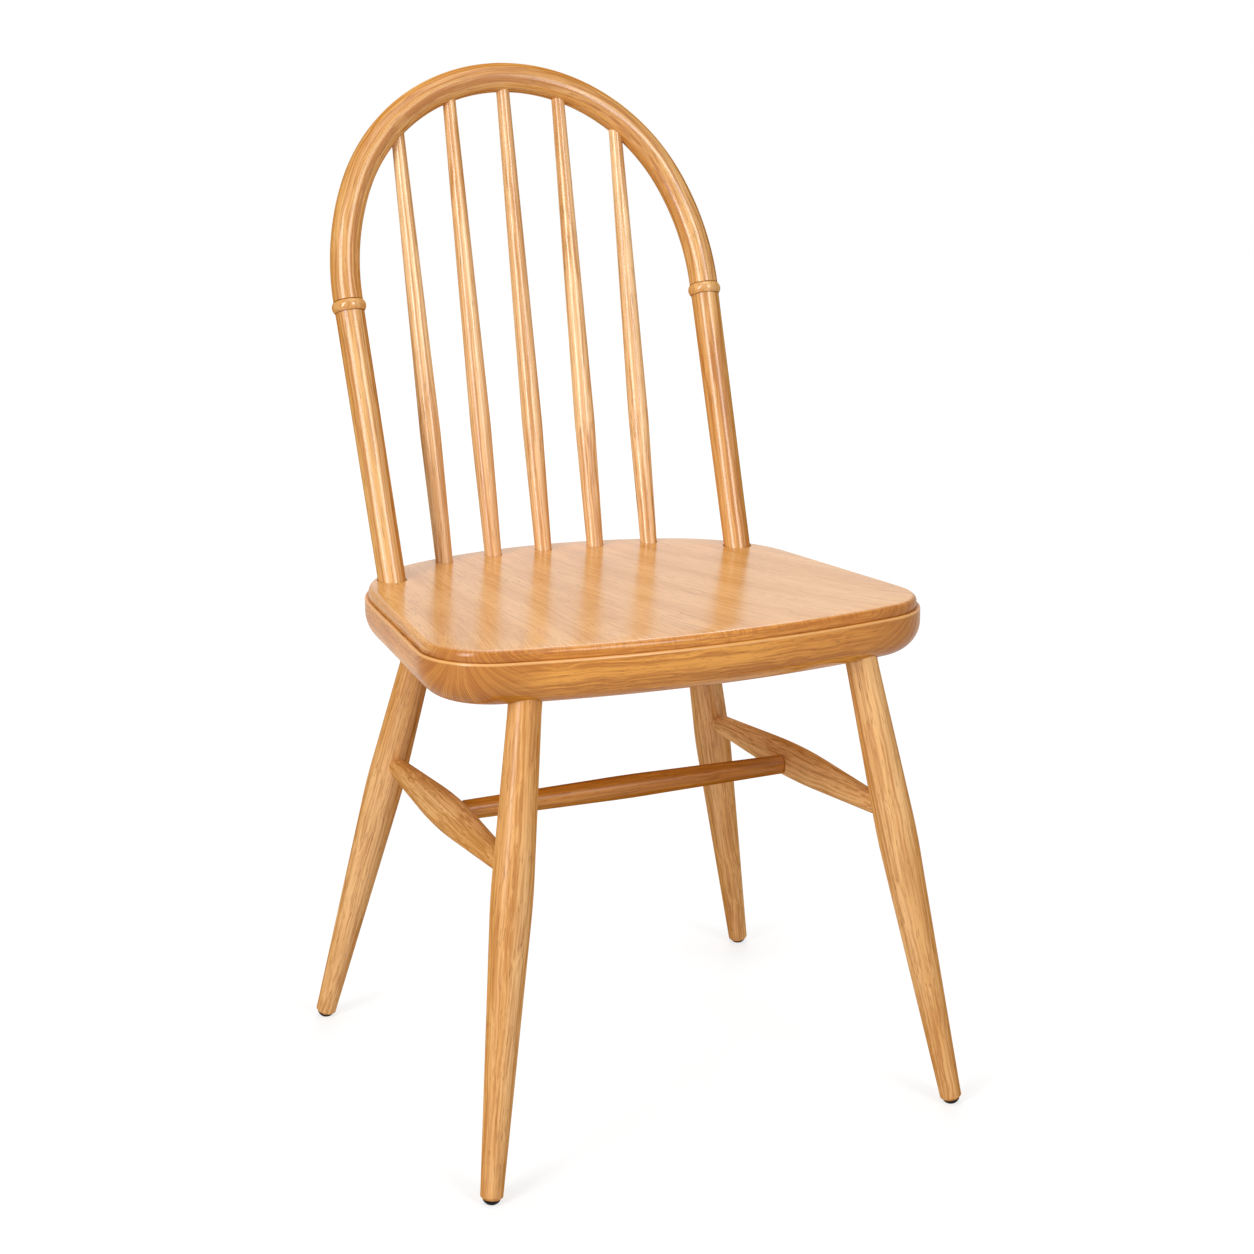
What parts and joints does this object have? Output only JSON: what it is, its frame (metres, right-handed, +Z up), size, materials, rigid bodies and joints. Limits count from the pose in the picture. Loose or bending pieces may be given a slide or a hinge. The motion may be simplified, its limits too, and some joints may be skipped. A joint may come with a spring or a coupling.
{
  "type": "windsor chair",
  "caption": "Bow-backed dining chair: solid shaped seat on splayed turned legs tied by stretchers, with a bent bow over slim spindles.",
  "frame": {"origin": "on the floor, under the middle of the chair's outline box", "axes": "+Z up, -Y the way the sitter faces, +X to the viewer's right when the chair is seen from its front; left in a node's name is -X"},
  "size_m": [0.4678, 0.5087, 0.896],
  "materials": {
    "seat_wood": "clear gloss lacquer on light honey wood",
    "turned_wood": "clear gloss lacquer on light honey wood, grain along the turning",
    "bent_wood": "clear gloss lacquer on light honey wood, grain along the bend",
    "glide_plastic": "black, smooth",
    "nail_steel": "plain steel, hidden"
  },
  "bodies": {
    "root": {"back_bow": "bent_wood", "cross_stretcher": "turned_wood", "front_left_glide": "glide_plastic", "front_left_leg": "turned_wood", "front_right_glide": "glide_plastic", "front_right_leg": "turned_wood", "glide_nails": "nail_steel", "left_back_post": "turned_wood", "left_collar": "turned_wood", "left_side_stretcher": "turned_wood", "rear_left_glide": "glide_plastic", "rear_left_leg": "turned_wood", "rear_right_glide": "glide_plastic", "rear_right_leg": "turned_wood", "right_back_post": "turned_wood", "right_collar": "turned_wood", "right_side_stretcher": "turned_wood", "seat": "seat_wood", "spindle_centre": "turned_wood", "spindle_inner_left": "turned_wood", "spindle_inner_right": "turned_wood", "spindle_outer_left": "turned_wood", "spindle_outer_right": "turned_wood"}
  },
  "joints": []
}
